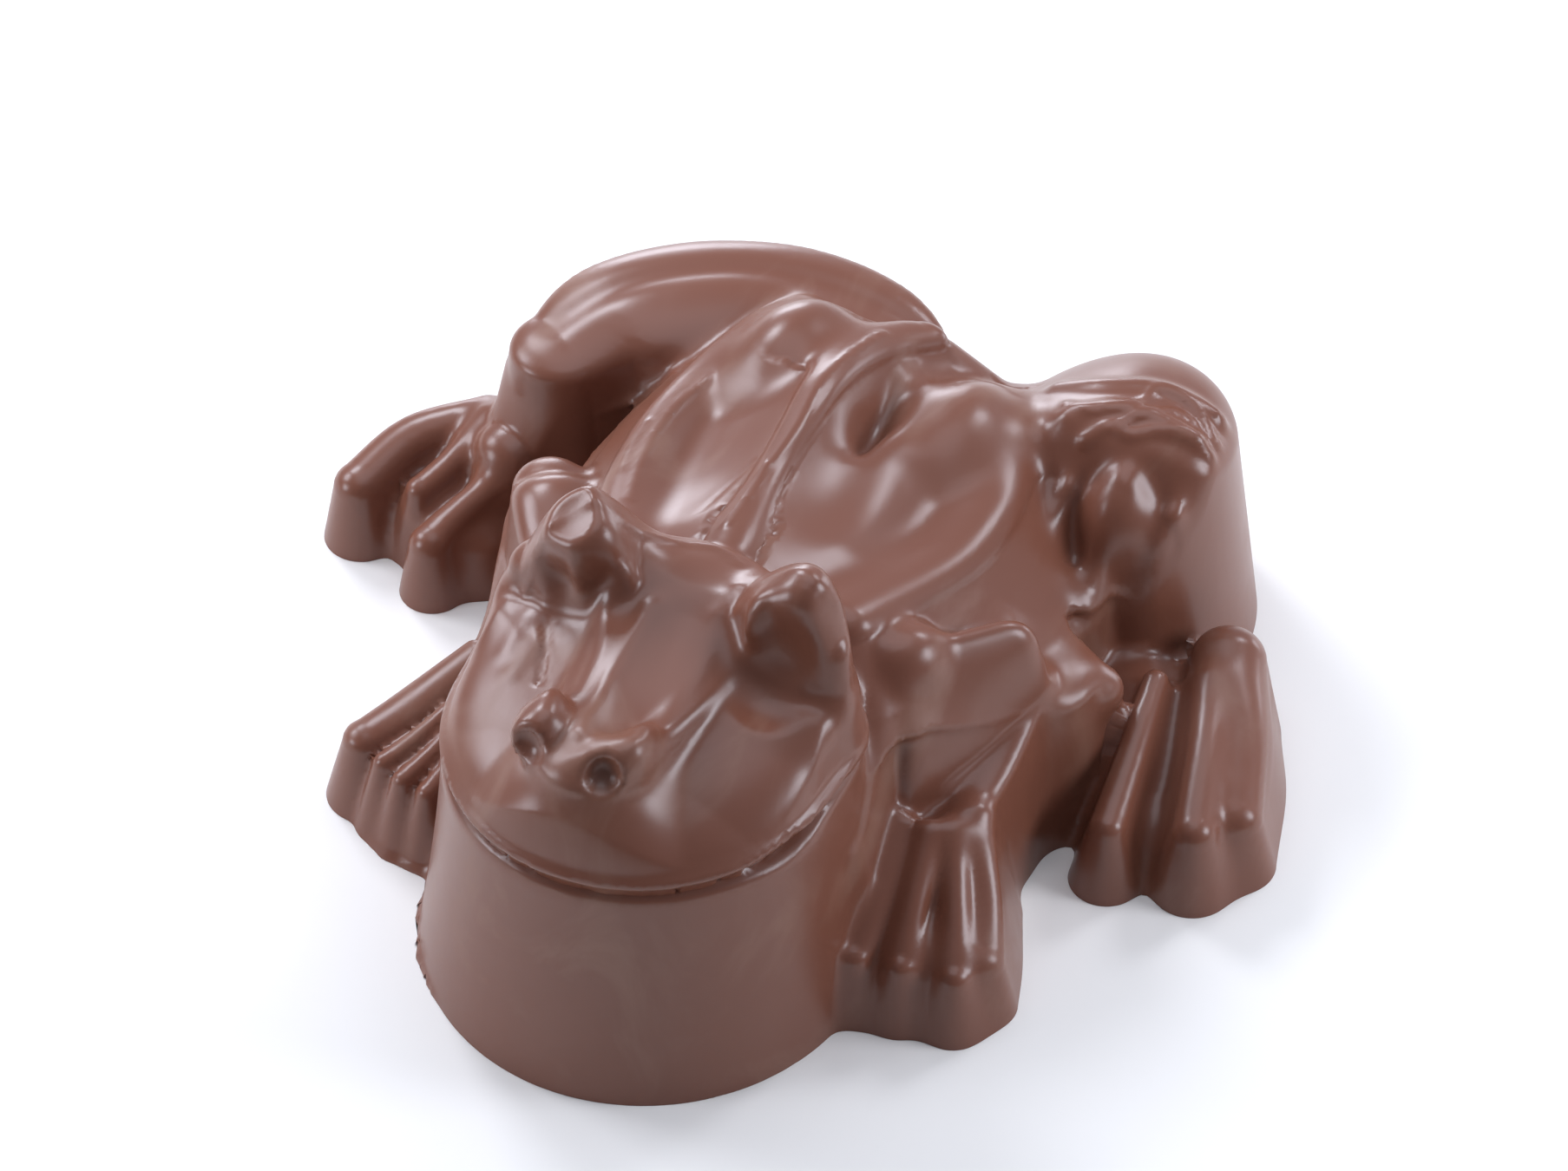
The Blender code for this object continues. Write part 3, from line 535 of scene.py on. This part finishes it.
# Remeshes the copy fine, presses it to the form, and cuts it level with the table
def moulding(node):
    body = copyNode(node, "milk_chocolate_frog")
    skin = body.modifiers.new("skin", "REMESH")
    skin.mode = "VOXEL"
    skin.voxel_size = frogLook["skinStep"] * mm
    bpy.ops.object.modifier_apply(modifier=skin.name)
    print("pressing", len(body.data.vertices), "vertices on to the form")
    pressToSkin(body.data, frogLook["pressRounds"])
    bpy.ops.object.mode_set(mode="EDIT")
    bpy.ops.mesh.select_all(action="SELECT")
    bpy.ops.mesh.bisect(plane_co=(0, 0, 0), plane_no=(0, 0, 1), use_fill=True, clear_inner=True,
                        threshold=mergeGap)
    bpy.ops.object.mode_set(mode="OBJECT")
    bpy.ops.object.shade_smooth_by_angle(angle=math.radians(frogLook["sharpEdge"]))
    return body


# From an sRGB hex colour to a linear one
def toLinear(hexColour):
    parts = [int(hexColour[i : i + 2], 16) / 255 for i in (1, 3, 5)]
    return tuple(c / 12.92 if c <= 0.04045 else ((c + 0.055) / 1.055) ** 2.4 for c in parts) + (1.0,)


# Adds a node with its settings; a link is given as (node, output name)
def addNode(tree, kind, settings=None, inputs=None):
    node = tree.nodes.new(kind)
    for name, value in (settings or {}).items():
        setattr(node, name, value)
    for name, value in (inputs or {}).items():
        if isinstance(value, tuple) and isinstance(value[0], bpy.types.Node):
            tree.links.new(value[0].outputs[value[1]], node.inputs[name])
        else:
            node.inputs[name].default_value = value
    return node


# Tempered milk chocolate, cast in a polished mould: an even brown with a satin gloss.
# Where it flowed and cooled slowly there are faint paler streaks, and the gloss is softer there.
chocolateLook = {
    "brown": "#754838",
    "paleBrown": "#7e5646",
    "gloss": 0.30,
    "softGloss": 0.40,
    "streakSize": 6.0,  # mm
    "swellSize": 2.4,  # mm, the slight waviness that bends reflections
    "swellDepth": 0.014,  # mm
    "grainSize": 0.25,  # mm; real sugar grain is 0.03, drawn coarser so that it shows
    "grainDepth": 0.0015,  # mm
}


def milkChocolate():
    look = chocolateLook
    material = bpy.data.materials.new("tempered milk chocolate, moulded")
    material.use_nodes = True
    tree = material.node_tree
    shader = tree.nodes["Principled BSDF"]
    shader.inputs["IOR"].default_value = 1.5
    place = addNode(tree, "ShaderNodeTexCoord")
    stretch = addNode(tree, "ShaderNodeMapping", None, {
        "Vector": (place, "Object"), "Rotation": (0.3, 0.2, 0.5), "Scale": (1.0, 0.45, 0.6)})
    streaks = addNode(tree, "ShaderNodeTexNoise", None, {
        "Vector": (stretch, "Vector"), "Scale": 1.0 / (look["streakSize"] * mm), "Detail": 5.0,
        "Roughness": 0.55, "Distortion": 1.2})
    streakEdge = addNode(tree, "ShaderNodeMapRange", {"interpolation_type": "SMOOTHSTEP"}, {
        "Value": (streaks, "Fac"), "From Min": 0.50, "From Max": 0.72})
    colour = addNode(tree, "ShaderNodeMix", {"data_type": "RGBA"}, {"Factor": (streakEdge, "Result")})
    colour.inputs[6].default_value = toLinear(look["brown"])
    colour.inputs[7].default_value = toLinear(look["paleBrown"])
    tree.links.new(colour.outputs[2], shader.inputs["Base Color"])
    roughness = addNode(tree, "ShaderNodeMapRange", None, {
        "Value": (streakEdge, "Result"), "To Min": look["gloss"], "To Max": look["softGloss"]})
    tree.links.new(roughness.outputs["Result"], shader.inputs["Roughness"])
    swell = addNode(tree, "ShaderNodeTexNoise", None, {
        "Vector": (place, "Object"), "Scale": 1.0 / (look["swellSize"] * mm), "Detail": 2.0, "Roughness": 0.4})
    grain = addNode(tree, "ShaderNodeTexNoise", None, {
        "Vector": (place, "Object"), "Scale": 1.0 / (look["grainSize"] * mm), "Detail": 1.0})
    swellBump = addNode(tree, "ShaderNodeBump", None, {
        "Height": (swell, "Fac"), "Distance": look["swellDepth"] * mm, "Strength": 1.0})
    grainBump = addNode(tree, "ShaderNodeBump", None, {
        "Height": (grain, "Fac"), "Distance": look["grainDepth"] * mm, "Strength": 1.0,
        "Normal": (swellBump, "Normal")})
    tree.links.new(grainBump.outputs["Normal"], shader.inputs["Normal"])
    return material


# Plain pale studio table
studioLook = {
    "table": "#f8f5f1",
    "tableSize": 1.6,  # m
}


# The table's top lies a hair under the frog, so that the two never share a face
def table():
    bpy.ops.object.select_all(action="DESELECT")
    bpy.ops.mesh.primitive_plane_add(size=studioLook["tableSize"], location=(0, 0, -0.02 * mm))
    floor = bpy.context.object
    floor.name = "table"
    bpy.ops.object.transform_apply(location=True)
    material = bpy.data.materials.new("matt pale table")
    material.use_nodes = True
    shader = material.node_tree.nodes["Principled BSDF"]
    shader.inputs["Base Color"].default_value = toLinear(studioLook["table"])
    shader.inputs["Roughness"].default_value = 0.8
    shader.inputs["Specular IOR Level"].default_value = 0.2
    floor.data.materials.append(material)


# Round softboxes, all aimed at the frog: place in mm, width in mm, watts
softboxes = {
    "left": ((-130, 0, 100), 62, 0.11),
    "back left": ((-118, 84, 140), 60, 0.16),
    "front left": ((-125, -98, 62), 60, 0.09),
    "right": ((128, 34, 72), 60, 0.10),
    "back right": ((55, 140, 130), 50, 0.08),
    "above": ((0, 20, 170), 150, 0.08),
    "low back left": ((-150, 240, 4), 110, 0.30),
    "low back right": ((110, 220, 4), 90, 0.12),
}
roomLook = {
    "tint": "#e6efff",
    "lamps": "#eff4ff",
    "front": 0.15,  # how bright the room is behind the camera
    "back": 0.50,  # and behind the frog
}


def lights():
    aim = Vector((0.0, 0.002, 0.010))
    for name, (place, size, power) in softboxes.items():
        light = bpy.data.lights.new(name + " softbox", "AREA")
        light.shape = "DISK"
        light.size = size * mm
        light.energy = power
        light.color = toLinear(roomLook["lamps"])[:3]
        lamp = bpy.data.objects.new(name + " softbox", light)
        lamp.location = Vector(place) * mm
        lamp.rotation_euler = (aim - lamp.location).to_track_quat("-Z", "Y").to_euler()
        bpy.context.scene.collection.objects.link(lamp)
    room = bpy.data.worlds.new("soft room")
    room.use_nodes = True
    tree = room.node_tree
    place = addNode(tree, "ShaderNodeTexCoord")
    parts = addNode(tree, "ShaderNodeSeparateXYZ", None, {"Vector": (place, "Generated")})
    strength = addNode(tree, "ShaderNodeMapRange", None, {
        "Value": (parts, "Y"), "From Min": -0.8, "From Max": 0.8, "To Min": roomLook["front"],
        "To Max": roomLook["back"]})
    backdrop = tree.nodes["Background"]
    backdrop.inputs["Color"].default_value = toLinear(roomLook["tint"])
    tree.links.new(strength.outputs["Result"], backdrop.inputs["Strength"])
    bpy.context.scene.world = room


# The camera stands in front and to the frog's left, and looks well down
cameraView = {
    "round": 25.6,  # degrees from straight in front
    "height": 46.3,  # degrees above the table
    "distance": 400.0,  # mm
    "aim": (0.6, 0.0, 0.0),  # mm
    "slide": (1.46, 9.8),  # mm right and up in the picture
    "pictureWide": 1807,  # pixels
    "pixelsPerMm": 22.1,
}


def camera():
    view = cameraView
    turn, lift = math.radians(view["round"]), math.radians(view["height"])
    back = Vector((math.sin(turn) * math.cos(lift), -math.cos(turn) * math.cos(lift), math.sin(lift)))
    right = Vector((math.cos(turn), math.sin(turn), 0.0))
    up = back.cross(right)
    place = Vector(view["aim"]) + back * view["distance"] + right * view["slide"][0] + up * view["slide"][1]
    lens = bpy.data.cameras.new("camera")
    lens.sensor_width = 36.0
    lens.lens = view["pixelsPerMm"] * view["distance"] / view["pictureWide"] * lens.sensor_width
    lens.clip_start = 0.01
    eye = bpy.data.objects.new("camera", lens)
    turned = Matrix((right, up, back)).transposed().to_4x4()
    eye.matrix_world = Matrix.Translation(place * mm) @ turned
    bpy.context.scene.collection.objects.link(eye)
    bpy.context.scene.camera = eye


print("moulding the frog")
node = frame["nodes"]["chocolate_frog"]
frogPiece = moulding(node)
frogPiece.data.materials.clear()
frogPiece.data.materials.append(milkChocolate())
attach(frogPiece, "root")
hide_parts("chocolate_frog")

print("setting the table, the lights and the camera")
table()
lights()
camera()
bpy.context.scene.view_settings.view_transform = "Standard"

print("triangles", sum(len(face.vertices) - 2 for face in frogPiece.data.polygons))
